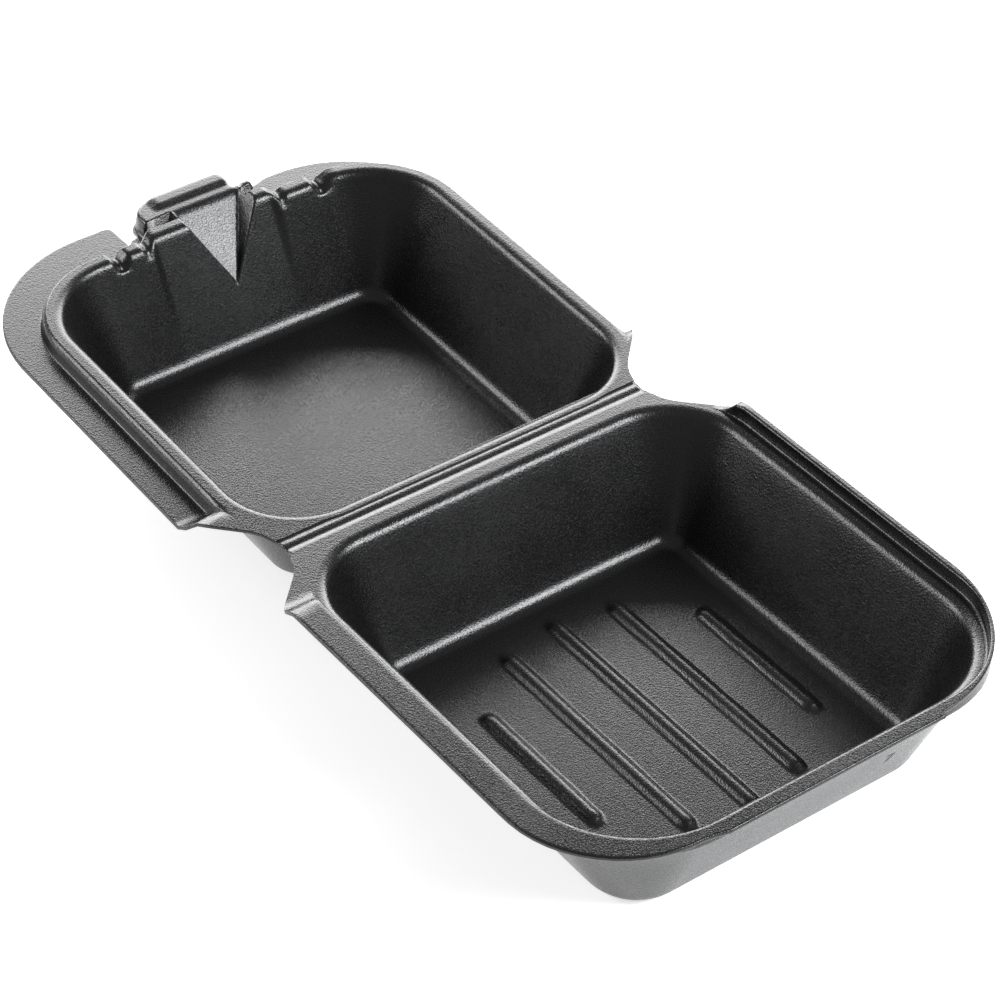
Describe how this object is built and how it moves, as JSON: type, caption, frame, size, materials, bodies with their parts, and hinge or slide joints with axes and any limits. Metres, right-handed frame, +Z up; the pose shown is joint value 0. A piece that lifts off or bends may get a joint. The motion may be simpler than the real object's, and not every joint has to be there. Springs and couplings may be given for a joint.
{
  "type": "foam clamshell container",
  "caption": "Hinged square foam food container, lying open: ribbed base tray, beaded lid and a tab latch, formed from one black sheet.",
  "frame": {"origin": "middle of the open container's outline, in plan, on the surface that it stands on; X is along the hinge and the fold line is at y = 0", "axes": "+X along the hinge, +Y from the base to the open lid, +Z up"},
  "size_m": [0.146, 0.296, 0.042],
  "materials": {
    "black_foam": "satin, fine foam grain"
  },
  "bodies": {
    "base": {"base_tray": "black_foam"},
    "lid": {"lid": "black_foam"}
  },
  "joints": [
    {"name": "lid_hinge", "type": "hinge", "parent": "base", "child": "lid", "pos_m": [0, 0, 0.0353], "axis": [1, 0, 0], "range_deg": [0, 175.4]}
  ]
}
